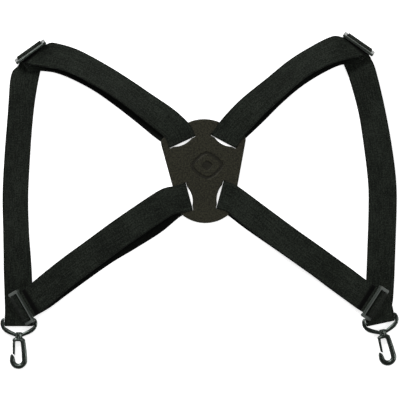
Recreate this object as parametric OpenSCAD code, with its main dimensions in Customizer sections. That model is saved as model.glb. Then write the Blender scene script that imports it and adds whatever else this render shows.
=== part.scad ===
// Shoulder harness for holding a wind instrument: a leather back plate, two long elastic
// webbing straps, four three-bar sliders and two swivel snap hooks, lying flat, front face up.
// +Z is up, +Y points to the shoulder sliders, +X to the wearer's right-hand strap.

/* [Webbing] */
// Width of the elastic webbing
webbing_w = 40; // [38:0.5:40]
// Thickness of the elastic webbing
webbing_t = 1.6; // [1.4:0.1:1.7]

/* [Back plate] */
// Thickness of the leather plate
plate_t = 3; // [2.6:0.1:3]
// Distance from the plate's middle to its top edge
plate_half = 73; // [72:0.5:74]
// Radius of the broad top edge
top_r = 55; // [53:1:57]
// Radius of the bottom edge
bottom_r = 51; // [50:1:53]
// Radius of the shoulder corners
shoulder_r = 9; // [8:0.5:10]
// Length of each strap slot beyond the webbing's width
slot_spare = 0.6; // [0.6:0.2:1.4]

/* [Sliders] */
// Length of a slider across the webbing
slider_len = 50.5; // [50:0.5:52]
// Distance between neighbouring bars
bar_pitch = 8.25; // [8.2:0.05:8.5]
// Radius of a bar
bar_r = 1.6; // [1.4:0.1:1.6]
// Width of the two end rails
rail_w = 4.2; // [3.6:0.1:4.4]

/* [Swivel hooks] */
// Outer width of the swivel loop
loop_w = 51; // [50:0.5:52]
// Radius of the loop's wire
wire_r = 2.2; // [2:0.1:2.3]
// Radius of the swivel post
post_r = 2.1; // [1.9:0.1:2.3]
// Inner radius of the hook's bend
hook_in_r = 5.2; // [5:0.1:5.4]
// Outer radius of the hook's bend
hook_out_r = 12; // [11.5:0.1:12.2]
// Thickness of the hook
hook_t = 7; // [6:0.5:8]

/* [Hidden] */
$fn = 48;
webbing_color = "#24272a";
plastic_color = "#1b1f1e";
// Running clearance between a pin or post and its hole
run_gap = 0.05;
// Gap left where a strap is parted at a fold line, as a share of one ring spacing
part_gap = 0.08;
// Rings made between neighbouring route points
ring_steps = 4;

// Plate: centre and turn in the plan, height of its middle plane
plate_at = [6.5, 41.5];
plate_turn = 2.5;
plate_mid_z = 3.35;
side_taper = 12.9;
// Radius of the webbing's middle line round the plate's edge
slot_turn_r = plate_t / 2 + webbing_t / 2 + 0.05;
front_z = plate_mid_z + slot_turn_r;
back_z = plate_mid_z - slot_turn_r;

slot_len = webbing_w + slot_spare;

// Slots: outer wall's middle point and the direction in which the strap leaves
left_upper_slot = [-26, 85, 115];
right_upper_slot = [34.5, 85.5, 62];
left_lower_slot = [-18, 5, 195];
right_lower_slot = [31, 7.5, -15];

// Sliders: centre bar's point, outward direction, lean from flat
left_upper_place = [-239, 209.6, 125.6];
right_upper_place = [223.6, 220.4, 55.3];
left_lower_place = [-251, -150.8, 209.8];
right_lower_place = [246.5, -144.8, -32.7];
upper_lean = 75;
lower_lean = 50;
upper_bar_z = 11.6;
lower_bar_z = 18.2;
// Radius of the webbing's middle line on a bar, and over a bar that already carries a sewn end
wrap_r = bar_r + webbing_t / 2 + 0.2;
over_r = wrap_r + webbing_t + 0.2;
// Inner end of the sewn tails, outward distance from the centre bar
tail_u = -20;

// Swivel: loop bar's point and turn in the plan, height of its axis
left_swivel = [-255.4, -173.6, 0];
right_swivel = [254.2, -170, 12];
swivel_z = 5;
loop_bar_r = 1.9;
hook_wrap_r = loop_bar_r + webbing_t / 2 + 0.3;
// Swivel parts, distances from the loop's bar along the hook
head_y = [-12.2, -13.6];
boss_y = [-13.8, -18.6];
collar_y = [-18.8, -23.5];
bend_at = [-0.5, -51.5];
gate_pin_at = [-6.6, -22.4];
gate_pin_r = 1;

// Routes, chosen by hand: [x, y, z, direction of the width, lift of the width] in mm and degrees.
// The width points to the left-hand edge, looking along the route away from the plate.
left_upper_front = [
    [-26, 85, front_z, 205, 0], [-32, 98, 6.5, 208, 2], [-50, 114.5, 9.5, 223, 12],
    [-76, 133.5, 13, 235, 26], [-106, 155, 16, 240, 32], [-137, 174.5, 17, 242, 31],
    [-178, 196, 17, 247, 28], [-212, 205, 17, 244, 18], [-231, 206.6, 16.3, 222, 5],
    [-235.9, 207.8, 16, 215.6, 0]];
left_upper_back = [
    [-26, 85, back_z, 205, 0], [-46, 100, 1, 220, 0], [-73, 122.5, 1, 232, 0],
    [-109, 150.5, 1, 236, 0], [-145, 175, 1.2, 241, 0], [-186, 195, 2.5, 246, 0],
    [-207, 198, 4.5, 232, 0], [-227.2, 193.1, 6, 215.6, 0]];
left_side = [
    [-237.7, 207.7, 1, 35.6, 0], [-239, 197, 1.2, 22, 0], [-244.5, 184, 1.9, 4, -1],
    [-248, 168, 5.4, -4, -12], [-250.5, 146, 9.6, -6, -23], [-253, 118, 10.6, -5, -28],
    [-257, 66, 10.6, -4, -28], [-260, 10, 10.6, -1, -28], [-259, -45, 10.4, 1, -27],
    [-257.6, -80, 7.6, 1, -18], [-256.8, -108, 3.4, 1, -6], [-256, -135, 1.5, 0, 0],
    [-255.4, -158, 1.3, 0, 0], [-255.4, -173.4, 2, 0, 0]];
left_lower_front = [
    [-18, 5, front_z, 285, 0], [-30, 1.5, 6, 287, 0], [-47, -2.5, 8, 296, 4],
    [-81, -24.5, 11, 304, 8], [-115, -48, 12, 305, 8], [-147, -71.5, 12, 306, 6],
    [-178, -94, 12.4, 307, 4], [-204, -114.5, 14, 308, 0], [-225, -132, 17, 306, 0],
    [-240.6, -144.8, 18.8, 299.8, 0]];
left_lower_back = [
    [-18, 5, back_z, 285, 0], [-38, -6, 1, 296, 0], [-67, -29, 1, 306, 0],
    [-102, -51, 1, 304, 0], [-136, -71.5, 1, 305, 0], [-170, -95.5, 1.2, 306, 0],
    [-200, -117.5, 4, 307, 0], [-222, -134, 9, 304, 0], [-233.5, -140.8, 12.6, 299.8, 0]];
left_fan = [
    [-255.4, -173.4, 8, 180, 0], [-256, -167, 8.4, 164, 0], [-257.4, -160.5, 9.4, 141, 0],
    [-258.1, -154.9, 12.2, 119.8, 0]];
right_upper_front = [
    [34.5, 85.5, front_z, 152, 0], [44, 99.5, 6.5, 148, -2], [59, 116.5, 8.5, 141, -8],
    [78, 135.5, 12, 134, -20], [104, 157.5, 15, 130, -28], [136, 184.5, 16.5, 129, -31],
    [166, 202.5, 17, 121, -28], [193, 214, 17, 117, -18], [215.2, 217, 16.3, 139, -5],
    [220.5, 218.5, 16, 145.3, 0]];
right_upper_back = [
    [34.5, 85.5, back_z, 152, 0], [50, 101, 1, 143, 0], [74, 124, 1, 137, 0],
    [101, 151, 1, 133, 0], [129, 175, 1.2, 129, 0], [160, 195, 2.2, 122, 0],
    [188, 207, 3.8, 128, 0], [212, 203.7, 6, 145.3, 0]];
right_side = [
    [222.3, 218.5, 1, -34.7, 0], [220.5, 210, 1.2, -18, 0], [221.5, 198, 2.1, 6, 1],
    [229, 178, 5.9, 15, 12], [242, 126, 8.5, 11, 20], [251.5, 71, 6, 9, 12],
    [256.8, 26, 4.5, 5, 8], [257.5, -10, 4, -1, 7], [256, -60, 3.5, -2, 6],
    [254.5, -105, 2.2, -2, 2], [252.8, -138, 1.4, 4, 0], [251.4, -156, 1.3, 12, 0],
    [254.2, -169.8, 2, 12, 0]];
right_lower_front = [
    [31, 7.5, front_z, 75, 0], [44, 3, 6, 72, 0], [59, -8, 7.5, 62, -3],
    [78, -22.5, 9.5, 57, -5], [123, -56, 12, 55, -6], [152, -76.5, 12, 55, -5],
    [184, -99.5, 12.4, 56, -3], [204, -114, 14, 57, 0], [221, -127, 17, 57.3, 0],
    [236.4, -138.3, 18.8, 57.3, 0]];
right_lower_back = [
    [31, 7.5, back_z, 75, 0], [48, -3, 1, 64, 0], [77, -24.5, 1, 55, 0], [123, -56.5, 1, 55, 0],
    [168, -88.5, 1.1, 55, 0], [190, -105, 3.4, 56, 0], [212, -121, 8.6, 57, 0],
    [229.6, -133.9, 12.6, 57.3, 0]];
right_fan = [
    [254.2, -169.8, 8, 192, 0], [254.4, -163, 8.4, 205, 0], [254.4, -156, 9.4, 222, 0],
    [253.4, -149.3, 12.2, 237.3, 0]];

// ---- helpers ----
function arc(c, r, from, to, n = 10) =
    [for (i = [0:n]) let (a = from + (to - from) * i / n) c + r * [cos(a), sin(a)]];
function unit(v) = v / norm(v);
// One point of a smooth curve through the route's points
function between(a, b, c, d, t) = 0.5 * (2 * b + (c - a) * t
    + (2 * a - 5 * b + 4 * c - d) * t * t + (3 * b - a - 3 * c + d) * t * t * t);
function rings(route) = concat(
    [for (i = [0:len(route) - 2]) for (k = [0:ring_steps - 1])
        between(route[max(i - 1, 0)], route[i], route[i + 1], route[min(i + 2, len(route) - 1)],
            k / ring_steps)],
    [route[len(route) - 1]]);
// The rings from one route point to another; a parted start leaves a small gap
function stretch(route, from, to) =
    let (all = rings(route), a = from * ring_steps, b = to * ring_steps)
    [for (i = [a:b]) i == a && from > 0 ? all[i] + part_gap * (all[i + 1] - all[i]) : all[i]];

// Flat ribbon through a list of rings
module ribbon(rs) {
    last = len(rs) - 1;
    points = [for (i = [0:last])
        let (c = [rs[i][0], rs[i][1], rs[i][2]],
            a = rs[max(i - 1, 0)], b = rs[min(i + 1, last)],
            along = [b[0] - a[0], b[1] - a[1], b[2] - a[2]],
            w = [cos(rs[i][3]) * cos(rs[i][4]), sin(rs[i][3]) * cos(rs[i][4]), sin(rs[i][4])],
            n = unit(cross(along, w)) * webbing_t / 2, h = w * webbing_w / 2)
        each [c + h + n, c + h - n, c - h - n, c - h + n]];
    sides = [for (i = [0:last - 1]) for (k = [0:3])
        let (p = 4 * i + k, q = 4 * i + (k + 1) % 4)
        each [[p, p + 4, q + 4], [p, q + 4, q]]];
    ends = [[0, 1, 2], [0, 2, 3], [4 * last, 4 * last + 2, 4 * last + 1],
        [4 * last, 4 * last + 3, 4 * last + 2]];
    color(webbing_color) polyhedron(points, concat(sides, ends));
}

// Puts a child at a point, its +Y turned to the given plan direction
module placed(at, z = 0) {
    translate([at[0], at[1], z]) rotate([0, 0, at[2] - 90]) children();
}

// Webbing bent only one way: a path of [outward, up] points, extruded across the width
module strip(path) {
    last = len(path) - 1;
    side = [for (i = [0:last])
        let (d = unit(path[min(i + 1, last)] - path[max(i - 1, 0)])) [-d[1], d[0]] * webbing_t / 2];
    outline = concat([for (i = [0:last]) path[i] + side[i]],
        [for (i = [last:-1:0]) path[i] - side[i]]);
    color(webbing_color) translate([-webbing_w / 2, 0, 0]) rotate([90, 0, 90])
        linear_extrude(webbing_w) polygon(outline);
}

// ---- back plate ----
function plate_outline() =
    let (top_c = [0, plate_half - top_r], low_c = [0, bottom_r - plate_half],
        shoulder_c = [50.5, 42], low_corner_c = [26.2, -51], low_corner_r = 12,
        half = concat(arc(low_c, bottom_r, -90, -48, 8), arc(low_corner_c, low_corner_r, -47, -side_taper, 6),
            arc(shoulder_c, shoulder_r, -side_taper, 58, 8), arc(top_c, top_r, 62, 90, 8)))
    concat(half, [for (i = [len(half) - 2:-1:1]) [-half[i][0], half[i][1]]]);

module slot_cut() {
    gap_w = 3.95;
    bow = 7.2;
    bow_r = (slot_len * slot_len / 4 + bow * bow) / (2 * bow);
    translate([-slot_len / 2, -gap_w, -1]) cube([slot_len, gap_w, plate_t + 2]);
    intersection() {
        translate([0, bow_r - bow, -1]) cylinder(r = bow_r, h = plate_t + 2);
        translate([-slot_len / 2, -2 * bow, -1]) cube([slot_len, 2 * bow, plate_t + 2]);
    }
}

module back_plate() {
    color("#2b211d") translate([0, 0, plate_mid_z - plate_t / 2]) difference() {
        translate([plate_at[0], plate_at[1], 0]) rotate([0, 0, plate_turn])
            linear_extrude(plate_t) polygon(plate_outline());
        for (at = [left_upper_slot, right_upper_slot, left_lower_slot, right_lower_slot])
            placed(at) slot_cut();
    }
}

// ---- webbing round plate, bars and hooks ----
module slot_turn(at) {
    placed(at) strip(arc([0, plate_mid_z], slot_turn_r, 94, 266, 12));
}

function bar_at(i, lean, z) = [i * bar_pitch * cos(lean), z - i * bar_pitch * sin(lean)];

// Upper slider: under the inner bar, over the centre bar, round the outer bar and back beneath
module upper_weave(at) {
    c = bar_at(0, upper_lean, upper_bar_z);
    a = bar_at(1, upper_lean, upper_bar_z);
    placed(at) strip(concat([[-2.7, 16]], arc(c, over_r, 90, 5, 8), arc(a, wrap_r, 0, -90, 8),
        [[-1.7, a[1] - wrap_r]]));
}

// Lower slider: under the inner bar, over the centre and outer bars
module lower_weave(at) {
    c = bar_at(0, lower_lean, lower_bar_z);
    a = bar_at(1, lower_lean, lower_bar_z);
    placed(at) strip(concat([[-11.7, c[1] + 0.7], [-8, c[1] + 2.4], [-5, c[1] + 3.4]],
        arc(c, over_r, 118, 48, 6), arc(a, wrap_r, 48, 15, 3)));
}

// Sewn end: the tail comes from the plate, goes round the centre bar and is stitched to itself
module sewn_end(at, z) {
    placed(at) strip(concat([[tail_u + 0.3, z - 5.5], [-13, z - 5], [-7, z - wrap_r - 1]],
        arc([0, z], wrap_r, -95, 105, 12),
        [[-4.2, z - 0.2], [-7.5, z - 1.5], [-12, z - 2.7], [-17, z - 3.3]]));
}

module sewing(at, z) {
    rows = 2;
    row_gap = 2.2;
    stitches = 9;
    pitch = 4;
    stitch = [2.4, 0.7, 0.5];
    color("#15171a") placed(at) for (row = [0:rows - 1]) for (i = [0:stitches - 1])
        translate([(i - (stitches - 1) / 2) * pitch - stitch[0] / 2, -15.5 + row * row_gap,
            z - 2.22 + row * 0.26])
            cube(stitch);
}

module hook_turn(at) {
    translate([at[0], at[1], swivel_z]) rotate([0, 0, at[2]])
        strip(arc([0, 0], hook_wrap_r, 268, 92, 12));
}

// ---- three-bar slider ----
module slider(at, lean, z) {
    rail_x = slider_len / 2 - rail_w / 2;
    rail_t = 3.4;
    inner_bar_w = 2.2;
    // the inner bar is a broad flat one with round edges
    inner_y = bar_pitch + inner_bar_w;
    color(plastic_color) placed(at, z) rotate([-lean, 0, 0]) {
        for (y = [-inner_y, -bar_pitch, 0, bar_pitch]) translate([-rail_x, y, 0])
            rotate([0, 90, 0]) cylinder(r = bar_r, h = 2 * rail_x);
        translate([-rail_x, -inner_y, -bar_r]) cube([2 * rail_x, inner_y - bar_pitch, 2 * bar_r]);
        for (s = [-1, 1]) {
            translate([s * rail_x - rail_w / 2, -inner_y, -rail_t / 2])
                cube([rail_w, inner_y + bar_pitch, rail_t]);
            for (y = [-inner_y, bar_pitch]) translate([s * rail_x, y, -rail_t / 2])
                cylinder(r = rail_w / 2, h = rail_t);
        }
    }
}

// ---- swivel snap hook ----
module on_swivel(at) {
    translate([at[0], at[1], swivel_z]) rotate([0, 0, at[2]]) children();
}

module swivel_loop(at) {
    x = loop_w / 2;
    // the ends stand up past the bar as two ears beside the webbing
    outer = [[x - 4.9, 7.8], [x - 3.4, 7.5], [x - 1.6, 6.2], [x - 0.3, 3.4], [x, 0], [x - 0.4, -3.6],
        [x - 2.2, -7.8], [x - 6, -11.7], [x - 11, -14.4], [9, -16.5], [4, -18.4]];
    inner = [[4, -13.4], [8, -11.6], [x - 13, -9.4], [x - 8.8, -6.8], [x - 5.3, -4.3], [x - 5, -0.8],
        [x - 4.9, 2.2], [x - 4.9, 3.8], [x - 5.1, 4.8]];
    boss_r = 4.6;
    color(plastic_color) on_swivel(at) difference() {
        union() {
            translate([-x + 3, 0, 0]) rotate([0, 90, 0]) cylinder(r = loop_bar_r, h = 2 * x - 6);
            for (s = [0, 1]) mirror([s, 0, 0])
                translate([0, 0, -wire_r]) linear_extrude(2 * wire_r) polygon(concat(outer, inner));
            translate([0, boss_y[0], 0]) rotate([90, 0, 0]) cylinder(r = boss_r, h = boss_y[0] - boss_y[1]);
        }
        translate([0, head_y[0], 0]) rotate([90, 0, 0])
            cylinder(r = post_r + run_gap, h = head_y[0] - collar_y[0]);
    }
}

module hook(at) {
    head_r = 3.9;
    collar_r = 5;
    collar_h = 3;
    nose_r = hook_out_r + 0.2;
    shoulder = [[-4, -19.4], [4, -19.4], [8, -22], [8.8, -26], [3.2, -26.5], [1.5, -24.4],
        [-8.8, -24.4], [-8.4, -21.6]];
    back = [[2.8, -24], [8.5, -22.5], [10.6, -38], [hook_out_r + bend_at[0], bend_at[1]],
        [hook_in_r + bend_at[0], bend_at[1]], [4.2, -40]];
    nose = [[-11.2, -43.6], [-9.7, -43.2], [-6.6, -46.8], [bend_at[0] - hook_in_r, bend_at[1]],
        [bend_at[0] - hook_out_r, bend_at[1]], [-nose_r, -47]];
    eye_slot = [9.2, 6.6, 3.6];
    color(plastic_color) on_swivel(at) difference() {
        union() {
            // post and its head
            translate([0, head_y[0], 0]) rotate([90, 0, 0]) cylinder(r = post_r, h = head_y[0] - collar_y[0] + 1);
            translate([0, head_y[0], 0]) rotate([90, 0, 0]) cylinder(r = head_r, h = head_y[0] - head_y[1]);
            // collar and shoulder
            translate([0, collar_y[0], 0]) rotate([90, 0, 0]) cylinder(r = collar_r, h = collar_h);
            for (outline = [shoulder, back, nose])
                translate([0, 0, -hook_t / 2]) linear_extrude(hook_t) polygon(outline);
            // bend
            translate([bend_at[0], bend_at[1], -hook_t / 2]) intersection() {
                cylinder(r = hook_out_r, h = hook_t, $fn = 96);
                translate([-hook_out_r, -hook_out_r, 0]) cube([2 * hook_out_r, hook_out_r, hook_t]);
            }
        }
        translate([bend_at[0], bend_at[1], -hook_t]) cylinder(r = hook_in_r, h = 2 * hook_t, $fn = 96);
        // slot for the gate's eye, and the pin's hole
        translate([-12, -26, -eye_slot[2] / 2]) cube(eye_slot);
        translate([gate_pin_at[0], gate_pin_at[1], -hook_t]) cylinder(r = gate_pin_r + 0.02, h = 2 * hook_t);
    }
}

module gate(at) {
    eye_r = 1.9;
    eye_t = 3;
    bar_t = 5;
    neck = [[-8.5, -22.4], [-4.8, -22.4], [-4.9, -26.5], [-8.6, -26.5]];
    bar = [[-8.7, -26.2], [-5.2, -26.2], [-5.6, -44.2], [-8.6, -42.4]];
    color(plastic_color) on_swivel(at) difference() {
        union() {
            translate([gate_pin_at[0], gate_pin_at[1], -eye_t / 2]) cylinder(r = eye_r, h = eye_t);
            translate([0, 0, -eye_t / 2]) linear_extrude(eye_t) polygon(neck);
            translate([0, 0, -bar_t / 2]) linear_extrude(bar_t) polygon(bar);
        }
        translate([gate_pin_at[0], gate_pin_at[1], -bar_t]) cylinder(r = gate_pin_r + run_gap, h = 2 * bar_t);
    }
}

module gate_pin(at) {
    color("#4a4f50") on_swivel(at) translate([gate_pin_at[0], gate_pin_at[1], -hook_t / 2 + 0.1])
        cylinder(r = gate_pin_r, h = hook_t - 0.2);
}

back_plate();
slot_turn(left_upper_slot);  // left_upper_slot_turn
slot_turn(left_lower_slot);  // left_lower_slot_turn
slot_turn(right_upper_slot);  // right_upper_slot_turn
slot_turn(right_lower_slot);  // right_lower_slot_turn
ribbon(stretch(left_upper_front, 0, 3));  // left_upper_front_inner
ribbon(stretch(left_upper_back, 0, 2));  // left_upper_back_inner
ribbon(stretch(left_lower_front, 0, 3));  // left_lower_front_inner
ribbon(stretch(left_lower_back, 0, 2));  // left_lower_back_inner
ribbon(stretch(right_upper_front, 0, 3));  // right_upper_front_inner
ribbon(stretch(right_upper_back, 0, 2));  // right_upper_back_inner
ribbon(stretch(right_lower_front, 0, 3));  // right_lower_front_inner
ribbon(stretch(right_lower_back, 0, 2));  // right_lower_back_inner
ribbon(stretch(left_upper_front, 3, 9));  // left_upper_front_outer
ribbon(stretch(left_upper_back, 2, 7));  // left_upper_back_outer
ribbon(stretch(left_lower_front, 3, 7));  // left_lower_front_outer
ribbon(stretch(left_lower_back, 2, 6));  // left_lower_back_outer
ribbon(stretch(right_upper_front, 3, 9));  // right_upper_front_outer
ribbon(stretch(right_upper_back, 2, 7));  // right_upper_back_outer
ribbon(stretch(right_lower_front, 3, 6));  // right_lower_front_outer
ribbon(stretch(right_lower_back, 2, 5));  // right_lower_back_outer
ribbon(stretch(left_lower_front, 7, 9));  // left_lower_front_feed
ribbon(stretch(left_lower_back, 6, 8));  // left_lower_back_feed
ribbon(stretch(right_lower_front, 6, 9));  // right_lower_front_feed
ribbon(stretch(right_lower_back, 5, 7));  // right_lower_back_feed
ribbon(stretch(left_side, 0, 13));  // left_side_run
ribbon(stretch(right_side, 0, 12));  // right_side_run
hook_turn(left_swivel);  // left_hook_turn
hook_turn(right_swivel);  // right_hook_turn
ribbon(stretch(left_fan, 0, 3));  // left_fan_run
ribbon(stretch(right_fan, 0, 3));  // right_fan_run
upper_weave(left_upper_place);  // left_upper_weave
upper_weave(right_upper_place);  // right_upper_weave
lower_weave(left_lower_place);  // left_lower_weave
lower_weave(right_lower_place);  // right_lower_weave
sewn_end(left_upper_place, upper_bar_z);  // left_upper_sewn_end
sewn_end(right_upper_place, upper_bar_z);  // right_upper_sewn_end
sewn_end(left_lower_place, lower_bar_z);  // left_lower_sewn_end
sewn_end(right_lower_place, lower_bar_z);  // right_lower_sewn_end
sewing(left_upper_place, upper_bar_z);  // sewing_left_upper
sewing(right_upper_place, upper_bar_z);  // sewing_right_upper
sewing(left_lower_place, lower_bar_z);  // sewing_left_lower
sewing(right_lower_place, lower_bar_z);  // sewing_right_lower
slider(left_upper_place, upper_lean, upper_bar_z);  // left_upper_slider
slider(right_upper_place, upper_lean, upper_bar_z);  // right_upper_slider
slider(left_lower_place, lower_lean, lower_bar_z);  // left_lower_slider
slider(right_lower_place, lower_lean, lower_bar_z);  // right_lower_slider
swivel_loop(left_swivel);  // left_swivel_loop
swivel_loop(right_swivel);  // right_swivel_loop
hook(left_swivel);  // left_hook
hook(right_swivel);  // right_hook
gate(left_swivel);  // left_gate
gate(right_swivel);  // right_gate
gate_pin(left_swivel);  // left_gate_pin
gate_pin(right_swivel);  // right_gate_pin
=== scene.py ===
import math

import bpy
import numpy as np
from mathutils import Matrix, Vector

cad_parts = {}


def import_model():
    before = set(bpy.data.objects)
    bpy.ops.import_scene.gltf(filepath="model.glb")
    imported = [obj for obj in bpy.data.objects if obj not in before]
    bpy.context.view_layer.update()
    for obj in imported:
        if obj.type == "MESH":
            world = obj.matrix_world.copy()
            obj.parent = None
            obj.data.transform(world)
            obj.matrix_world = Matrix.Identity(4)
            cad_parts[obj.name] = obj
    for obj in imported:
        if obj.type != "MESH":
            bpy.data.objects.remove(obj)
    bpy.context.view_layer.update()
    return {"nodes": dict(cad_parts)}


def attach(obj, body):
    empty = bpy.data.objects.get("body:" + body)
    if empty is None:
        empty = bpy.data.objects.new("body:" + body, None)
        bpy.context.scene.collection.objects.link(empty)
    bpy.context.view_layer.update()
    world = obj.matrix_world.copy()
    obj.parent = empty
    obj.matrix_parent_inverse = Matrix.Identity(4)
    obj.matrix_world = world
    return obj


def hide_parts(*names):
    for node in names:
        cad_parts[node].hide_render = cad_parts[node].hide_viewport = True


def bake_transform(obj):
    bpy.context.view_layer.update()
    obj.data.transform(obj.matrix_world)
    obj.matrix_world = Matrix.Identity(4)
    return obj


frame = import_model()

MM = 0.001
NODES = frame["nodes"]

# ---------------------------------------------------------------- sizes shared with the CAD, mm
WEB_W, WEB_T = 40.0, 1.6
PLATE_MID_Z, SLOT_TURN_R = 3.35, 2.35
FRONT_Z, BACK_Z = PLATE_MID_Z + SLOT_TURN_R, PLATE_MID_Z - SLOT_TURN_R
PITCH, WRAP_R, OVER_R = 8.25, 2.6, 4.4
UPPER_LEAN, LOWER_LEAN, UPPER_Z, LOWER_Z = 75, 50, 11.6, 18.2
SWIVEL_Z, HOOK_WRAP_R = 5.0, 3.0

PLACES = {
    "left": {
        "upper_slot": (-26, 85, 115), "lower_slot": (-18, 5, 195),
        "upper": (-239, 209.6, 125.6), "lower": (-251, -150.8, 209.8), "swivel": (-255.4, -173.6, 0),
    },
    "right": {
        "upper_slot": (34.5, 85.5, 62), "lower_slot": (31, 7.5, -15),
        "upper": (223.6, 220.4, 55.3), "lower": (246.5, -144.8, -32.7), "swivel": (254.2, -170, 12),
    },
}
# The strap's routes: x, y, z in mm, direction of the width and its lift in degrees
ROUTES = {
    "left": {
        "upper_front": [
            (-26, 85, FRONT_Z, 205, 0), (-32, 98, 6.5, 208, 2), (-50, 114.5, 9.5, 223, 12),
            (-76, 133.5, 13, 235, 26), (-106, 155, 16, 240, 32), (-137, 174.5, 17, 242, 31),
            (-178, 196, 17, 247, 28), (-212, 205, 17, 244, 18), (-231, 206.6, 16.3, 222, 5),
            (-235.9, 207.8, 16, 215.6, 0)],
        "upper_back": [
            (-26, 85, BACK_Z, 205, 0), (-46, 100, 1, 220, 0), (-73, 122.5, 1, 232, 0),
            (-109, 150.5, 1, 236, 0), (-145, 175, 1.2, 241, 0), (-186, 195, 2.5, 246, 0),
            (-207, 198, 4.5, 232, 0), (-227.2, 193.1, 6, 215.6, 0)],
        "side": [
            (-237.7, 207.7, 1, 35.6, 0), (-239, 197, 1.2, 22, 0), (-244.5, 184, 1.9, 4, -1),
            (-248, 168, 5.4, -4, -12), (-250.5, 146, 9.6, -6, -23), (-253, 118, 10.6, -5, -28),
            (-257, 66, 10.6, -4, -28), (-260, 10, 10.6, -1, -28), (-259, -45, 10.4, 1, -27),
            (-257.6, -80, 7.6, 1, -18), (-256.8, -108, 3.4, 1, -6), (-256, -135, 1.5, 0, 0),
            (-255.4, -158, 1.3, 0, 0), (-255.4, -173.4, 2, 0, 0)],
        "lower_front": [
            (-18, 5, FRONT_Z, 285, 0), (-30, 1.5, 6, 287, 0), (-47, -2.5, 8, 296, 4),
            (-81, -24.5, 11, 304, 8), (-115, -48, 12, 305, 8), (-147, -71.5, 12, 306, 6),
            (-178, -94, 12.4, 307, 4), (-204, -114.5, 14, 308, 0), (-225, -132, 17, 306, 0),
            (-240.6, -144.8, 18.8, 299.8, 0)],
        "lower_back": [
            (-18, 5, BACK_Z, 285, 0), (-38, -6, 1, 296, 0), (-67, -29, 1, 306, 0),
            (-102, -51, 1, 304, 0), (-136, -71.5, 1, 305, 0), (-170, -95.5, 1.2, 306, 0),
            (-200, -117.5, 4, 307, 0), (-222, -134, 9, 304, 0), (-233.5, -140.8, 12.6, 299.8, 0)],
        "fan": [
            (-255.4, -173.4, 8, 180, 0), (-256, -167, 8.4, 164, 0), (-257.4, -160.5, 9.4, 141, 0),
            (-258.1, -154.9, 12.2, 119.8, 0)],
    },
    "right": {
        "upper_front": [
            (34.5, 85.5, FRONT_Z, 152, 0), (44, 99.5, 6.5, 148, -2), (59, 116.5, 8.5, 141, -8),
            (78, 135.5, 12, 134, -20), (104, 157.5, 15, 130, -28), (136, 184.5, 16.5, 129, -31),
            (166, 202.5, 17, 121, -28), (193, 214, 17, 117, -18), (215.2, 217, 16.3, 139, -5),
            (220.5, 218.5, 16, 145.3, 0)],
        "upper_back": [
            (34.5, 85.5, BACK_Z, 152, 0), (50, 101, 1, 143, 0), (74, 124, 1, 137, 0),
            (101, 151, 1, 133, 0), (129, 175, 1.2, 129, 0), (160, 195, 2.2, 122, 0),
            (188, 207, 3.8, 128, 0), (212, 203.7, 6, 145.3, 0)],
        "side": [
            (222.3, 218.5, 1, -34.7, 0), (220.5, 210, 1.2, -18, 0), (221.5, 198, 2.1, 6, 1),
            (229, 178, 5.9, 15, 12), (242, 126, 8.5, 11, 20), (251.5, 71, 6, 9, 12),
            (256.8, 26, 4.5, 5, 8), (257.5, -10, 4, -1, 7), (256, -60, 3.5, -2, 6),
            (254.5, -105, 2.2, -2, 2), (252.8, -138, 1.4, 4, 0), (251.4, -156, 1.3, 12, 0),
            (254.2, -169.8, 2, 12, 0)],
        "lower_front": [
            (31, 7.5, FRONT_Z, 75, 0), (44, 3, 6, 72, 0), (59, -8, 7.5, 62, -3),
            (78, -22.5, 9.5, 57, -5), (123, -56, 12, 55, -6), (152, -76.5, 12, 55, -5),
            (184, -99.5, 12.4, 56, -3), (204, -114, 14, 57, 0), (221, -127, 17, 57.3, 0),
            (236.4, -138.3, 18.8, 57.3, 0)],
        "lower_back": [
            (31, 7.5, BACK_Z, 75, 0), (48, -3, 1, 64, 0), (77, -24.5, 1, 55, 0), (123, -56.5, 1, 55, 0),
            (168, -88.5, 1.1, 55, 0), (190, -105, 3.4, 56, 0), (212, -121, 8.6, 57, 0),
            (229.6, -133.9, 12.6, 57.3, 0)],
        "fan": [
            (254.2, -169.8, 8, 192, 0), (254.4, -163, 8.4, 205, 0), (254.4, -156, 9.4, 222, 0),
            (253.4, -149.3, 12.2, 237.3, 0)],
    },
}


# ---------------------------------------------------------------- small helpers
def curve_through(points, steps):
    """Points on a smooth curve through the given ones."""
    p = np.array(points, float)
    out = []
    last = len(p) - 1
    for i in range(last):
        a, b, c, d = p[max(i - 1, 0)], p[i], p[i + 1], p[min(i + 2, last)]
        for k in range(steps):
            t = k / steps
            out.append(0.5 * (2 * b + (c - a) * t + (2 * a - 5 * b + 4 * c - d) * t * t
                              + (3 * b - a - 3 * c + d) * t ** 3))
    out.append(p[last])
    return out


def arc(c, r, start, end, n=18):
    angles = np.radians(np.linspace(start, end, n + 1))
    return [(c[0] + r * math.cos(a), c[1] + r * math.sin(a)) for a in angles]


def mesh_object(name, verts, faces):
    me = bpy.data.meshes.new(name)
    me.from_pydata([tuple(v) for v in verts], [], faces)
    me.validate()
    me.shade_smooth()
    ob = bpy.data.objects.new(name, me)
    bpy.context.scene.collection.objects.link(ob)
    return ob


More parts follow.
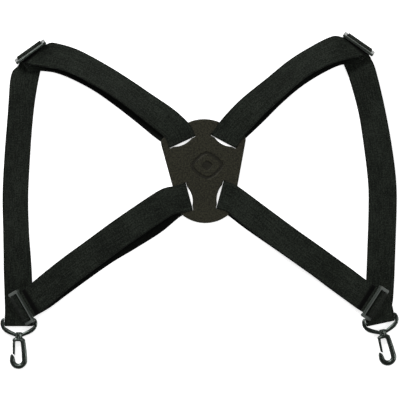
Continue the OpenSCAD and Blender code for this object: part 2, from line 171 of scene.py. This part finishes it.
# ---------------------------------------------------------------- materials
class Nodes:
    """A material being wired up, with short names for the nodes used here."""

    def __init__(self, name):
        self.material = bpy.data.materials.new(name)
        self.material.use_nodes = True
        self.tree = self.material.node_tree
        self.shader = next(n for n in self.tree.nodes if n.type == "BSDF_PRINCIPLED")

    def link(self, value, socket):
        if isinstance(value, bpy.types.NodeSocket):
            self.tree.links.new(value, socket)
        else:
            socket.default_value = value

    def math(self, op, a, b=0.0, c=0.0):
        n = self.tree.nodes.new("ShaderNodeMath")
        n.operation = op
        for value, socket in zip((a, b, c), n.inputs):
            self.link(value, socket)
        return n.outputs[0]

    def noise(self, vector, scale, detail=3.0, rough=0.55):
        n = self.tree.nodes.new("ShaderNodeTexNoise")
        self.link(vector, n.inputs["Vector"])
        n.inputs["Scale"].default_value = scale
        n.inputs["Detail"].default_value = detail
        n.inputs["Roughness"].default_value = rough
        return n.outputs["Fac"]

    def voronoi(self, vector, scale, feature="F1"):
        n = self.tree.nodes.new("ShaderNodeTexVoronoi")
        n.feature = feature
        self.link(vector, n.inputs["Vector"])
        n.inputs["Scale"].default_value = scale
        return n.outputs["Distance"]

    def ramp(self, fac, stops):
        n = self.tree.nodes.new("ShaderNodeValToRGB")
        self.link(fac, n.inputs["Fac"])
        while len(n.color_ramp.elements) < len(stops):
            n.color_ramp.elements.new(0.5)
        for e, (at, colour) in zip(n.color_ramp.elements, stops):
            e.position = at
            e.color = (*colour, 1)
        return n.outputs["Color"]

    def span(self, value, a, b, c, d):
        n = self.tree.nodes.new("ShaderNodeMapRange")
        n.interpolation_type = "SMOOTHSTEP"
        for v, socket in zip((value, a, b, c, d), n.inputs):
            self.link(v, socket)
        return n.outputs[0]

    def split(self, vector):
        n = self.tree.nodes.new("ShaderNodeSeparateXYZ")
        self.link(vector, n.inputs[0])
        return n.outputs

    def join(self, x, y, z=0.0):
        n = self.tree.nodes.new("ShaderNodeCombineXYZ")
        for value, socket in zip((x, y, z), n.inputs):
            self.link(value, socket)
        return n.outputs[0]

    def scaled(self, vector, by):
        n = self.tree.nodes.new("ShaderNodeVectorMath")
        n.operation = "MULTIPLY"
        self.link(vector, n.inputs[0])
        n.inputs[1].default_value = by
        return n.outputs[0]

    def place(self, kind="Object"):
        return self.tree.nodes.new("ShaderNodeTexCoord").outputs[kind]

    def attribute(self, name):
        n = self.tree.nodes.new("ShaderNodeAttribute")
        n.attribute_name = name
        return n.outputs["Fac"]

    def mix(self, fac, a, b):
        n = self.tree.nodes.new("ShaderNodeMix")
        n.data_type = "RGBA"
        for value, key in ((fac, 0), (a, 6), (b, 7)):
            self.link(value, n.inputs[key])
        return n.outputs[2]

    def bump(self, height, distance, strength=1.0, normal=None):
        n = self.tree.nodes.new("ShaderNodeBump")
        self.link(height, n.inputs["Height"])
        n.inputs["Distance"].default_value = distance
        n.inputs["Strength"].default_value = strength
        if normal is not None:
            self.link(normal, n.inputs["Normal"])
        return n.outputs[0]

    def set(self, **values):
        for name, value in values.items():
            self.link(value, self.shader.inputs[name.replace("_", " ")])


def webbing_material():
    m = Nodes("elastic_webbing")
    u, v, _ = m.split(m.place("UV"))  # u: 0 to 1 across the strap, v: along it in widths
    across = m.math("MULTIPLY", u, WEB_W)
    along = m.math("MULTIPLY", v, WEB_W)
    rib_no = m.math("DIVIDE", across, 1.3)
    rib = m.math("ABSOLUTE", m.math("SINE", m.math("MULTIPLY", rib_no, math.pi)))
    step = m.math("MULTIPLY", m.math("FLOOR", rib_no), math.pi)
    pick = m.math("SINE", m.math("MULTIPLY_ADD", along, 2 * math.pi / 1.15, step))
    weave = m.math("MULTIPLY_ADD", m.math("MULTIPLY", pick, rib), 0.28, m.math("MULTIPLY", rib, 0.55))
    at = m.join(across, along)
    fuzz = m.noise(m.place(), 5200, 2.0, 0.6)
    height = m.math("MULTIPLY_ADD", fuzz, 0.45, weave)
    # each rubber-cored rib and each pick takes the dye a little differently
    ribs = m.noise(m.scaled(at, (0.62, 0.045, 1)), 1.0, 2.0, 0.7)
    picks = m.noise(m.scaled(at, (0.06, 0.75, 1)), 1.0, 2.0, 0.7)
    speckle = m.noise(m.scaled(at, (0.55, 0.5, 1)), 1.0, 1.5, 0.8)
    broad = m.noise(m.place(), 24, 3.0)
    tone = m.math("MULTIPLY_ADD", m.math("SUBTRACT", ribs, 0.5), 1.5,
                  m.math("MULTIPLY", m.math("SUBTRACT", picks, 0.5), 0.7))
    tone = m.math("MULTIPLY_ADD", m.math("SUBTRACT", speckle, 0.5), 2.8, tone)
    tone = m.math("MULTIPLY_ADD", m.math("SUBTRACT", broad, 0.5), 0.9, tone)
    # painted shade: the weave's height also tints the colour, so the grooves between ribs are darker and
    # the ridges lighter, with the random fuzz on top
    tone = m.math("MULTIPLY_ADD", m.math("SUBTRACT", height, 0.5), 0.35, tone)
    # selvedge: the last 1.6 mm at each side, over the cord, is coloured darker
    edge = m.math("ABSOLUTE", m.math("SUBTRACT", u, 0.5))
    selvedge = m.span(edge, 0.452, 0.464, 0.0, 1.0)
    tone = m.math("SUBTRACT", m.math("ADD", tone, 0.5), m.math("MULTIPLY", selvedge, 0.22))
    colour = m.ramp(tone, [(0.05, (0.0018, 0.0025, 0.0017)), (0.5, (0.0074, 0.0096, 0.0070)),
                           (0.95, (0.0190, 0.0232, 0.0180))])
    # painted shade: near black where the webbing dives under a slider's bar and on the layers beneath
    colour = m.mix(m.attribute("painted_shade"), colour, (0.0002, 0.0003, 0.0002, 1))
    m.set(Base_Color=colour, Normal=m.bump(height, 0.00035, 0.75))
    m.set(Roughness=m.span(fuzz, 0.2, 0.8, 0.8, 0.94))
    m.shader.inputs["Specular IOR Level"].default_value = 0.1
    m.shader.inputs["Sheen Weight"].default_value = 0.02
    m.shader.inputs["Sheen Roughness"].default_value = 0.5
    return m.material


def leather_material():
    m = Nodes("black_leather")
    at = m.place()
    warp = m.noise(at, 900, 2.0)
    cells = m.voronoi(at, 780, "SMOOTH_F1")
    grain = m.math("MULTIPLY_ADD", cells, -0.7, m.math("MULTIPLY", warp, 0.5))
    pores = m.noise(at, 3400, 3.0, 0.6)
    height = m.math("MULTIPLY_ADD", pores, 0.25, grain)
    broad = m.noise(at, 18, 4.0)
    speckle = m.noise(at, 420, 2.0, 0.9)
    tone = m.math("MULTIPLY_ADD", broad, 0.7, m.math("MULTIPLY", pores, 0.25))
    tone = m.math("MULTIPLY_ADD", m.math("SUBTRACT", speckle, 0.5), 4.2, tone)
    colour = m.ramp(tone, [(0.1, (0.0020, 0.0020, 0.0009)), (0.9, (0.0205, 0.0203, 0.0118))])
    pressed = m.attribute("pressed")
    colour = m.mix(m.math("MULTIPLY", pressed, 0.8), colour, (0.0016, 0.0015, 0.0009, 1))
    m.set(Base_Color=colour, Normal=m.bump(height, 0.00045, 0.8))
    m.set(Roughness=m.span(m.math("MULTIPLY_ADD", pores, 0.5, m.math("MULTIPLY", broad, 0.5)),
                           0.25, 0.75, 0.44, 0.6))
    m.shader.inputs["Specular IOR Level"].default_value = 0.22
    m.shader.inputs["Specular Tint"].default_value = (1.0, 0.97, 0.82, 1)
    return m.material


def plastic_material(name, base, rough, glint):
    m = Nodes(name)
    at = m.place()
    fine = m.noise(at, 2600, 3.0, 0.6)
    broad = m.noise(at, 120, 3.0)
    wear = m.voronoi(at, 900, "F1")
    tone = m.math("MULTIPLY_ADD", broad, 0.7, m.math("MULTIPLY", fine, 0.3))
    colour = m.ramp(tone, [(0.25, tuple(c * 0.75 for c in base)),
                           (0.8, tuple(c * 1.3 for c in base))])
    m.set(Base_Color=colour, Normal=m.bump(fine, 0.00001, 0.6))
    m.set(Roughness=m.span(m.math("MULTIPLY_ADD", wear, 0.3, broad),
                           0.35, 0.85, rough * 0.85, rough * 1.25))
    m.shader.inputs["Specular IOR Level"].default_value = glint
    m.shader.inputs["Specular Tint"].default_value = (0.86, 1.0, 0.91, 1)
    return m.material


def steel_material():
    m = Nodes("pin_steel")
    at = m.place()
    turn = m.noise(at, 3000, 2.0)
    colour = m.ramp(turn, [(0.3, (0.16, 0.17, 0.175)), (0.8, (0.27, 0.28, 0.285))])
    m.set(Base_Color=colour, Normal=m.bump(turn, 0.00002, 0.5))
    m.set(Roughness=m.span(turn, 0.3, 0.7, 0.28, 0.42))
    m.shader.inputs["Metallic"].default_value = 1.0
    return m.material


def thread_material():
    m = Nodes("bonded_thread")
    at = m.place()
    twist = m.noise(at, 4200, 2.0)
    colour = m.ramp(twist, [(0.3, (0.008, 0.009, 0.0095)), (0.8, (0.021, 0.023, 0.024))])
    m.set(Base_Color=colour, Normal=m.bump(twist, 0.0001, 0.7))
    m.set(Roughness=m.span(twist, 0.3, 0.7, 0.5, 0.7))
    return m.material


WEBBING = webbing_material()
LEATHER = leather_material()
SLIDER = plastic_material("moulded_slider", (0.0085, 0.0105, 0.0080), 0.3, glint=0.55)
HOOK = plastic_material("moulded_hook", (0.0040, 0.0055, 0.0042), 0.24, glint=0.85)
GATE = plastic_material("moulded_gate", (0.0040, 0.0055, 0.0042), 0.28, glint=0.7)
STEEL = steel_material()
THREAD = thread_material()


# ---------------------------------------------------------------- webbing
def bar_at(i, lean, z):
    a = math.radians(lean)
    return (i * PITCH * math.cos(a), z - i * PITCH * math.sin(a))


def turned(at, z0, path, direction):
    """Rings of webbing bent only one way: path holds outward distance and height."""
    d = math.radians(direction)
    w = np.array([math.cos(d - math.pi / 2), math.sin(d - math.pi / 2), 0])
    return [(np.array([at[0] + p[0] * math.cos(d), at[1] + p[0] * math.sin(d), z0 + p[1]]), w)
            for p in path]


def routed(route, steps=12):
    out = []
    for x, y, z, d, lift in curve_through(route, steps):
        d, lift = math.radians(d), math.radians(lift)
        w = np.array([math.cos(d) * math.cos(lift), math.sin(d) * math.cos(lift), math.sin(lift)])
        out.append((np.array([x, y, z]), w))
    return out


def sewn_path(z):
    """From the back layer round the centre bar to the stitched tail."""
    lead = [(-19.7, z - 5.5), (-16, z - 5.35), (-13, z - 5), (-10, z - 4.4), (-7, z - WRAP_R - 1),
            (-3.4, z - 2.85)]
    tail = [(-4.2, z - 0.2), (-7.5, z - 1.5), (-12, z - 2.7), (-17, z - 3.3)]
    return curve_through(lead, 3)[:-1] + arc((0, z), WRAP_R, -95, 105, 24) + curve_through(tail, 4)


def strap_sections(side):
    """The whole strap of one side in order, from its upper sewn end to its lower one."""
    place, route = PLACES[side], ROUTES[side]
    c, a = bar_at(0, UPPER_LEAN, UPPER_Z), bar_at(1, UPPER_LEAN, UPPER_Z)
    upper_weave = ([(-2.7, 16)] + arc(c, OVER_R, 90, 5) + arc(a, WRAP_R, 0, -90)
                   + [(-1.7, a[1] - WRAP_R)])
    c, a = bar_at(0, LOWER_LEAN, LOWER_Z), bar_at(1, LOWER_LEAN, LOWER_Z)
    rise = [(-11.7, c[1] + 0.7), (-8, c[1] + 2.4), (-5, c[1] + 3.4), (-2.4, c[1] + 3.85)]
    lower_weave = curve_through(rise, 4)[:-1] + arc(c, OVER_R, 118, 48) + arc(a, WRAP_R, 48, 15, 6)
    turn = arc((0, PLATE_MID_Z), SLOT_TURN_R, 90, 270, 24)

    def placed(key, path):
        at = place[key]
        return turned(at, 0, path, at[2])

    swivel = place["swivel"]
    return [
        ("upper_sewn", placed("upper", sewn_path(UPPER_Z)[::-1])),
        ("upper_back", routed(route["upper_back"])[::-1]),
        ("upper_turn", placed("upper_slot", turn[::-1])),
        ("upper_front", routed(route["upper_front"])),
        ("upper_weave", placed("upper", upper_weave)),
        ("side", routed(route["side"])),
        ("hook_turn", turned(swivel, SWIVEL_Z, arc((0, 0), HOOK_WRAP_R, 268, 92, 24), 90 + swivel[2])),
        ("fan", routed(route["fan"], 10)),
        ("lower_weave", placed("lower", lower_weave[::-1])),
        ("lower_front", routed(route["lower_front"])[::-1]),
        ("lower_turn", placed("lower_slot", turn)),
        ("lower_back", routed(route["lower_back"])),
        ("lower_sewn", placed("lower", sewn_path(LOWER_Z))),
    ]


RUNS = ("upper_back", "upper_front", "side", "lower_front", "lower_back")
LEAST_STEP = 0.28  # rings nearer than this are dropped
CALM_LENGTH = 22  # the webbing's waviness grows over this length from each bar or slot
BAR_SHADE, BAR_SHADE_FADE = 8.5, 3  # length of painted shade before a slider's bar, where the webbing dives under it, and its fade
UNDER_SHADE, UNDER_SHADE_FADE = 0.7, 25  # painted shade on the layers that lie beneath, and the length it fades in over


def whole_strap(side):
    """Centre, width and normal directions, distance along and section name of every ring."""
    centre, width, name = [], [], []
    for label, rings in strap_sections(side):
        for c, w in rings:
            if centre and np.linalg.norm(c - centre[-1]) < LEAST_STEP:
                continue
            if width and np.dot(w, width[-1]) < 0:
                w = -w
            centre.append(c)
            width.append(w)
            name.append(label)
    centre, width = np.array(centre), np.array(width)
    along = np.gradient(centre, axis=0)
    normal = np.cross(along, width)
    normal /= np.linalg.norm(normal, axis=1)[:, None]
    s = np.concatenate([[0], np.cumsum(np.linalg.norm(np.diff(centre, axis=0), axis=1))])
    is_run = np.array([n in RUNS for n in name])
    fixed = s[~is_run]
    away = np.abs(s[:, None] - fixed[None, :]).min(1)
    t = np.clip(away / CALM_LENGTH, 0, 1)
    calm = t * t * (3 - 2 * t)
    # painted shade: the colour is darkened where the webbing dives under a slider's bar and on the
    # layers that lie beneath, in place of their shadow
    name_at = np.array(name)
    painted_shade = np.zeros(len(s))
    for front, weave in (("upper_front", "upper_weave"), ("lower_front", "lower_weave")):
        edge = s[name_at == weave]
        gap = np.minimum(np.abs(s - edge[0]), np.abs(s - edge[-1]))
        painted_shade = np.where(name_at == front, np.clip((BAR_SHADE - gap) / BAR_SHADE_FADE, 0, 1), painted_shade)
    for back in ("upper_back", "lower_back"):
        run = s[name_at == back]
        inside = np.minimum(s - run[0], run[-1] - s)
        painted_shade = np.maximum(painted_shade, UNDER_SHADE * np.clip(inside / UNDER_SHADE_FADE, 0, 1))
    return {"c": centre, "w": width, "n": normal, "s": s, "name": name, "calm": calm,
            "painted_shade": painted_shade}


HALF, THICK = WEB_W / 2, WEB_T / 2
ACROSS = 20
EDGE_R = 0.9
CORD_H, CORD_IN, CORD_R = 0.10, 1.35, 0.75


def section_profile():
    """Closed outline of the webbing's cross-section: across and height."""
    xs = np.linspace(-HALF + EDGE_R, HALF - EDGE_R, ACROSS + 1)

    def cord(x):
        """A selvedge cord stands a little proud of the flat middle at each side."""
        return CORD_H * math.exp(-((HALF - CORD_IN - abs(x)) / CORD_R) ** 2)

    top = [(x, THICK - 0.07 + cord(x)) for x in xs]
    end = [(HALF - EDGE_R + 0.85 * math.cos(a), (THICK - 0.06) * math.sin(a))
           for a in np.radians([62, 34, 0, -34, -62])]
    low = [(x, -THICK + 0.07 - cord(x)) for x in xs[::-1]]
    return np.array(top + end + low + [(-x, -z) for x, z in end])


PROFILE = section_profile()


def strap_piece(name, strap, i, j, phase):
    """One length of webbing, from ring i to ring j of the strap, in metres."""
    idx = range(i, j + 1)
    verts, uvs, painted_shade = [], [], []
    for k in idx:
        # a slow cupping and rocking keeps the free runs from looking ruled
        s, calm = strap["s"][k], strap["calm"][k]
        cup = calm * (0.30 * math.sin(s / 41 + phase) + 0.16 * math.sin(s / 17 + 2 * phase))
        wave = calm * 0.18 * math.sin(s / 23 + 1.7 * phase)
        slim = 1 + calm * 0.004 * math.sin(s / 31 + phase)
        for x, z in PROFILE:
            lift = z + cup * ((x / HALF) ** 2 - 0.3) + wave * (x / HALF) ** 3
            verts.append((strap["c"][k] + strap["w"][k] * x * slim + strap["n"][k] * lift) * MM)
            uvs.append((x / WEB_W + 0.5, s / WEB_W))
            painted_shade.append(strap["painted_shade"][k])
    m, faces = len(PROFILE), []
    rows = len(idx)
    for r in range(rows - 1):
        for q in range(m):
            a, b = r * m + q, r * m + (q + 1) % m
            faces.append((a, b, b + m, a + m))
    faces += [tuple(range(m))[::-1], tuple(range((rows - 1) * m, rows * m))]
    ob = mesh_object(name, verts, faces)
    edges = np.zeros(len(ob.data.edges) * 2, np.int32)
    ob.data.edges.foreach_get("vertices", edges)
    ring = edges.reshape(-1, 2) // m
    cut = (ring[:, 0] == ring[:, 1]) & ((ring[:, 0] == 0) | (ring[:, 0] == rows - 1))
    ob.data.edges.foreach_set("use_edge_sharp", cut)
    layer = ob.data.uv_layers.new(name="UVMap")
    loops = np.zeros(len(ob.data.loops), np.int32)
    ob.data.loops.foreach_get("vertex_index", loops)
    layer.data.foreach_set("uv", np.array(uvs, np.float32)[loops].ravel())
    # painted shade for the webbing's colour, carried on each ring's vertices
    shade = ob.data.attributes.new("painted_shade", "FLOAT", "POINT")
    shade.data.foreach_set("value", np.array(painted_shade, np.float32))
    ob.data.materials.append(WEBBING)
    return ob


FOLD_AT, FOLD_END = {"left": -75, "right": 77}, 116


def build_strap(side, phase):
    strap = whole_strap(side)
    name = strap["name"]
    first = {n: name.index(n) for n in dict.fromkeys(name)}
    last = {n: len(name) - 1 - name[::-1].index(n) for n in first}
    x = np.abs(strap["c"][:, 0])
    sign = -1 if side == "left" else 1
    root, wing = "root", side + "_wing"
    upper, lower = side + "_upper_adjuster", side + "_lower_adjuster"
    # lengths that give way as a slider moves; known fault: the upper one is longer than the
    # upper pieces, so a gap opens at their cuts as the slider moves out
    upper_feed, side_feed, lower_feed = 130, 125, 110

    def past(section, limit, outward):
        found = [k for k in range(first[section], last[section] + 1) if x[k] > limit]
        return found[0] if outward else found[-1]

    def point(k):
        return tuple(strap["c"][k] * MM)

    def before(k, distance, step):
        s, q = strap["s"], k
        while abs(s[q] - s[k]) < distance:
            q += step
        return q

    upper_back_cut = past("upper_back", FOLD_END, False)
    upper_front_cut = past("upper_front", FOLD_END, True)
    lower_front_cut = past("lower_front", FOLD_END, False)
    lower_back_cut = past("lower_back", FOLD_END, True)
    # the bend starts at the fold's hinge line, so that nothing dips into the table; known fault:
    # the slanted cuts reach back into it, so one edge of each seam steps at the full fold
    fold = (FOLD_AT[side] * MM, 0, 0), (sign * (FOLD_END - 4) * MM, 0, 0)
    pieces = [
        ("upper_sewn_strap", 0, first["upper_back"], "folded", [side + "_upper_slider"],
         (upper,), ["upper_sewn_end"]),
        ("upper_back_strap", first["upper_back"], upper_back_cut, "laid", ["floor"],
         (wing, upper, point(before(first["upper_back"], upper_feed, 1)), point(first["upper_back"])),
         ["upper_back_outer"]),
        ("upper_plate_strap", upper_back_cut, upper_front_cut, "folded", ["back_plate"],
         (root, wing, *fold), ["upper_back_inner", "upper_slot_turn", "upper_front_inner"]),
        ("upper_front_strap", upper_front_cut, first["upper_weave"], "laid",
         [side + "_upper_back_strap"],
         (wing, upper, point(before(first["upper_weave"], upper_feed, -1)), point(first["upper_weave"])),
         ["upper_front_outer"]),
        ("upper_slider_strap", first["upper_weave"], first["side"], "folded",
         [side + "_upper_slider"],
         (upper,), ["upper_weave"]),
        ("side_strap", first["side"], first["fan"], "laid", ["floor"],
         (upper, wing, point(first["side"]), point(before(first["side"], side_feed, 1))),
         ["side_run", "hook_turn"]),
        ("fan_strap", first["fan"], first["lower_weave"], "stretched", [side + "_swivel_loop"],
         (wing, lower, point(first["fan"] + 2), point(first["lower_weave"])), ["fan_run"]),
        ("lower_slider_strap", first["lower_weave"], first["lower_front"], "folded",
         [side + "_lower_slider"],
         (lower,), ["lower_weave"]),
        ("lower_front_strap", first["lower_front"], lower_front_cut, "laid",
         [side + "_lower_back_strap"],
         (wing, lower, point(before(first["lower_front"], lower_feed, 1)), point(first["lower_front"])),
         ["lower_front_outer", "lower_front_feed"]),
        ("lower_plate_strap", lower_front_cut, lower_back_cut, "folded", ["back_plate"],
         (root, wing, *fold), ["lower_front_inner", "lower_slot_turn", "lower_back_inner"]),
        ("lower_back_strap", lower_back_cut, first["lower_sewn"], "laid", ["floor"],
         (wing, lower, point(before(first["lower_sewn"], lower_feed, -1)), point(first["lower_sewn"])),
         ["lower_back_outer", "lower_back_feed"]),
        ("lower_sewn_strap", first["lower_sewn"], len(name) - 1, "folded", [side + "_lower_slider"],
         (lower,), ["lower_sewn_end"]),
    ]
    for label, i, j, held, on, bodies, stands_for in pieces:
        ob = strap_piece(side + "_" + label, strap, i, j, phase)
        if len(bodies) == 1:
            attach(ob, bodies[0])
        else:
            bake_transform(ob)
        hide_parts(*(side + "_" + n for n in stands_for))


build_strap("left", 0.7)
build_strap("right", 2.9)


# ---------------------------------------------------------------- stitches
def stitches(name, at, z):
    """Two rows of lock stitches over the sewn tail, each a short bowed thread."""
    count, pitch, row_gap, half_length, thread_r = 9, 4, 2.2, 1.35, 0.34
    d = math.radians(at[2])
    out, across = np.array([math.cos(d), math.sin(d), 0]), np.array([math.sin(d), -math.cos(d), 0])
    verts, faces = [], []
    for row in range(2):
        for i in range(count):
            mid = (np.array([at[0], at[1], 0]) + out * (-15.15 + row * row_gap)
                   + across * (i - count // 2) * pitch + np.array([0, 0, z - 2.08 + row * 0.26]))
            first = len(verts)
            for k in range(9):
                t = k / 8 * 2 - 1
                r = thread_r * math.sqrt(max(1 - abs(t) ** 3, 0.02))
                c = mid + across * t * half_length + np.array([0, 0, -0.22 * t * t])
                for q in range(8):
                    a = q * math.pi / 4
                    verts.append((c + out * r * math.cos(a) + np.array([0, 0, r * math.sin(a)])) * MM)
            for k in range(8):
                for q in range(8):
                    a, b = first + k * 8 + q, first + k * 8 + (q + 1) % 8
                    faces.append((a, b, b + 8, a + 8))
            faces += [tuple(range(first, first + 8))[::-1], tuple(range(first + 64, first + 72))]
    ob = mesh_object(name, verts, faces)
    ob.data.materials.append(THREAD)
    return ob


for side in ("left", "right"):
    for end, z in (("upper", UPPER_Z), ("lower", LOWER_Z)):
        ob = stitches(f"{side}_{end}_stitches", PLACES[side][end], z)
        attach(ob, f"{side}_{end}_adjuster")
        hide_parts(f"sewing_{side}_{end}")


# ---------------------------------------------------------------- moulded hardware and leather
def coords(me):
    co = np.zeros(len(me.vertices) * 3, np.float32)
    me.vertices.foreach_get("co", co)
    return co.reshape(-1, 3).astype(float)


def put_coords(me, co):
    me.vertices.foreach_set("co", co.astype(np.float32).ravel())
    me.update()


def with_modifier(ob, kind, **settings):
    m = ob.modifiers.new(kind, kind)
    for name, value in settings.items():
        setattr(m, name, value)
    bpy.context.view_layer.update()
    done = bpy.data.meshes.new_from_object(ob.evaluated_get(bpy.context.evaluated_depsgraph_get()))
    ob.modifiers.clear()
    ob.data = done


def moulded(name, node, body, voxel, rounds, material, grow, shape=None):
    """The CAD shape with the soft edges and fillets of a moulding."""
    ob = bpy.data.objects.new(name, NODES[node].data.copy())
    bpy.context.scene.collection.objects.link(ob)
    with_modifier(ob, "REMESH", mode="VOXEL", voxel_size=voxel * MM)
    if shape:
        put_coords(ob.data, shape(coords(ob.data)))
    with_modifier(ob, "SMOOTH", factor=0.5, iterations=rounds)
    # smoothing thins narrow parts, so the surface is set back outwards
    out = np.zeros(len(ob.data.vertices) * 3, np.float32)
    ob.data.vertices.foreach_get("normal", out)
    put_coords(ob.data, coords(ob.data) + out.reshape(-1, 3) * grow * MM)
    ob.data.materials.clear()
    ob.data.materials.append(material)
    ob.data.shade_smooth()
    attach(ob, body)
    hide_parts(node)
    return ob


def rounded(swivel, spine, least, most, keep, spread=0.0):
    """Rounds a flat moulding: its height falls off from the spine (x, y, half width) to its outline.

    The spread opens the loop's ears, clear of the webbing between them."""
    a = math.radians(swivel[2])
    spine = np.array(spine, float)

    def shape(co):
        dx, dy, z = co[:, 0] / MM - swivel[0], co[:, 1] / MM - swivel[1], co[:, 2] / MM - SWIVEL_Z
        x, y = dx * math.cos(a) + dy * math.sin(a), -dx * math.sin(a) + dy * math.cos(a)
        q = np.full(len(co), 9.0)
        for p0, p1 in zip(spine[:-1], spine[1:]):
            along = p1[:2] - p0[:2]
            t = np.clip(((x - p0[0]) * along[0] + (y - p0[1]) * along[1]) / (along @ along), 0, 1)
            gap = np.hypot(x - p0[0] - t * along[0], y - p0[1] - t * along[1])
            q = np.minimum(q, gap / (p0[2] + t * (p1[2] - p0[2])))
        limit = least + (most - least) * np.sqrt(np.clip(1 - np.clip(q, 0, 1) ** 2.2, 0, 1))
        free = keep(x, y)
        z = np.where(free, z, np.clip(z, -limit, limit))
        out = co.copy()
        out[:, 2] = (z + SWIVEL_Z) * MM
        ear = np.clip((np.abs(x) - 17) / 2, 0, 1) * np.clip((y + 6) / 4, 0, 1)
        push = spread * np.sign(x) * ear * MM
        out[:, 0] += push * math.cos(a)
        out[:, 1] += push * math.sin(a)
        return out

    return shape


HOOK_SPINE = ([(-7.6, -22.9, 2.0), (0, -22.2, 2.9), (5.4, -24.4, 3.3), (6.4, -31, 3.3), (7.3, -40, 3.4)]
              + [(-0.5 + 8.6 * math.cos(math.radians(t)), -51.5 + 8.6 * math.sin(math.radians(t)), 3.5)
                 for t in range(0, -181, -15)] + [(-9.3, -48, 2.7), (-10.3, -44, 0.9)])
LOOP_HALF = [(0, -16.5, 3.0), (4, -15.9, 2.6), (9, -13.9, 2.7), (14, -11.6, 2.8), (18, -8.8, 2.9),
             (21.4, -5.4, 2.8), (22.9, -2, 2.7), (22.95, 1.2, 2.6), (22.3, 4.3, 2.3), (20.0, 6.3, 1.6)]
LOOP_SPINE = [(-x, y, w) for x, y, w in LOOP_HALF[::-1]] + LOOP_HALF[1:]


def loop_keeps(x, y):
    """The swivel's boss and the bar keep their round shape."""
    return (np.abs(x) < 4.9) & (y < -12) | (np.abs(y) < 2.1) & (np.abs(x) < 20.2)


def hook_keeps(x, y):
    """The collar and the post keep their round shape."""
    return y > -20.6


for side in ("left", "right"):
    swivel = PLACES[side]["swivel"]
    for end in ("upper", "lower"):
        moulded(f"{side}_{end}_slider_moulding", f"{side}_{end}_slider", f"{side}_{end}_adjuster",
                0.32, 12, SLIDER, 0.25)
    moulded(side + "_loop_moulding", side + "_swivel_loop", side + "_loop",
            0.32, 5, HOOK, 0.3, rounded(swivel, LOOP_SPINE, 0.9, 2.2, loop_keeps, 0.35))
    moulded(side + "_hook_moulding", side + "_hook", side + "_snap_hook",
            0.3, 6, HOOK, 0.35, rounded(swivel, HOOK_SPINE, 1.3, 3.5, hook_keeps))
    moulded(side + "_gate_moulding", side + "_gate", side + "_hook_gate",
            0.25, 8, GATE, 0.1)
    pin = NODES[side + "_gate_pin"]
    pin.data.materials.clear()
    pin.data.materials.append(STEEL)

plate = moulded("leather_plate", "back_plate", "root",
                0.55, 5, LEATHER, (0.45, 0.45, 0))


def press_motif(ob, centre, turn):
    """Presses a plain lozenge ring with a small lozenge inside into the leather's front."""
    co = coords(ob.data)
    a = math.radians(turn)
    dx, dy = co[:, 0] / MM - centre[0], co[:, 1] / MM - centre[1]
    x, y = dx * math.cos(a) + dy * math.sin(a), -dx * math.sin(a) + dy * math.cos(a)
    half_w, half_h, power, slope, depth = 25, 21, 1.4, 0.7, 0.9
    r = ((np.abs(x) / half_w) ** power + (np.abs(y) / half_h) ** power) ** (1 / power) * half_h
    ring = np.clip((2.3 - np.abs(r - 17.6)) / slope, 0, 1)
    middle = np.clip((7.0 - r) / slope, 0, 1)
    mask = np.maximum(ring, middle)
    mask = mask * mask * (3 - 2 * mask)
    front = co[:, 2] / MM > PLATE_MID_Z + 0.9
    co[:, 2] -= np.where(front, mask * depth, 0) * MM
    put_coords(ob.data, co)
    pressed = ob.data.attributes.new("pressed", "FLOAT", "POINT")
    pressed.data.foreach_set("value", np.where(front, mask, 0).astype(np.float32))


press_motif(plate, (9.9, 49.4), 2.5)

# ---------------------------------------------------------------- floor, light, camera
bpy.ops.mesh.primitive_plane_add(size=8, location=(0, 0, -0.0004))
floor = bpy.context.object
floor.name = "floor"
f = Nodes("studio_paper")
paper = f.noise(f.place(), 260, 3.0)
f.set(Base_Color=f.ramp(paper, [(0.3, (0.86, 0.86, 0.86)), (0.7, (0.88, 0.88, 0.88))]), Roughness=0.8)
f.set(Normal=f.bump(paper, 0.00005, 0.3))
f.shader.inputs["Emission Color"].default_value = (1, 1, 1, 1)
f.shader.inputs["Emission Strength"].default_value = 0.7
floor.data.materials.append(f.material)


def softbox(name, at, size, watts):
    """A rectangular light aimed at the middle of the harness."""
    light = bpy.data.lights.new(name, "AREA")
    light.shape = "RECTANGLE"
    light.size, light.size_y = size
    light.energy = watts
    ob = bpy.data.objects.new(name, light)
    ob.location = at
    ob.rotation_euler = (-Vector(at)).to_track_quat("-Z", "Y").to_euler()
    ob.visible_camera = False
    bpy.context.scene.collection.objects.link(ob)


softbox("key_softbox", (-0.9, 1.6, 1.7), (1.1, 0.5), 44)
softbox("fill_softbox", (1.8, -0.3, 1.5), (0.5, 1.0), 16)
softbox("overhead_softbox", (-0.35, 0.5, 2.3), (0.9, 0.6), 9)


def white_room(strength):
    """A bright room that darkens towards the ceiling."""
    world = bpy.data.worlds.new("white_room")
    bpy.context.scene.world = world
    world.use_nodes = True
    tree = world.node_tree
    back = tree.nodes["Background"]
    way = tree.nodes.new("ShaderNodeTexCoord")
    split = tree.nodes.new("ShaderNodeSeparateXYZ")
    fade = tree.nodes.new("ShaderNodeValToRGB")
    tree.links.new(way.outputs["Generated"], split.inputs[0])
    tree.links.new(split.outputs["Z"], fade.inputs["Fac"])
    tree.links.new(fade.outputs["Color"], back.inputs["Color"])
    for stop, (at, grey) in zip(fade.color_ramp.elements, ((0.25, 1.0), (0.85, 0.10))):
        stop.position = at
        stop.color = (grey, grey, grey, 1)
    back.inputs["Strength"].default_value = strength


white_room(0.55)

camera = bpy.data.cameras.new("camera")
camera.lens = 300
camera.sensor_width = 36
camera.dof.use_dof = False
camera.clip_end = 20
eye = bpy.data.objects.new("camera", camera)
eye.location = (0, 0.0007, 4.705)
eye.rotation_euler = (0, 0, 0)
bpy.context.scene.collection.objects.link(eye)
bpy.context.scene.camera = eye
bpy.context.scene.view_settings.view_transform = "Standard"
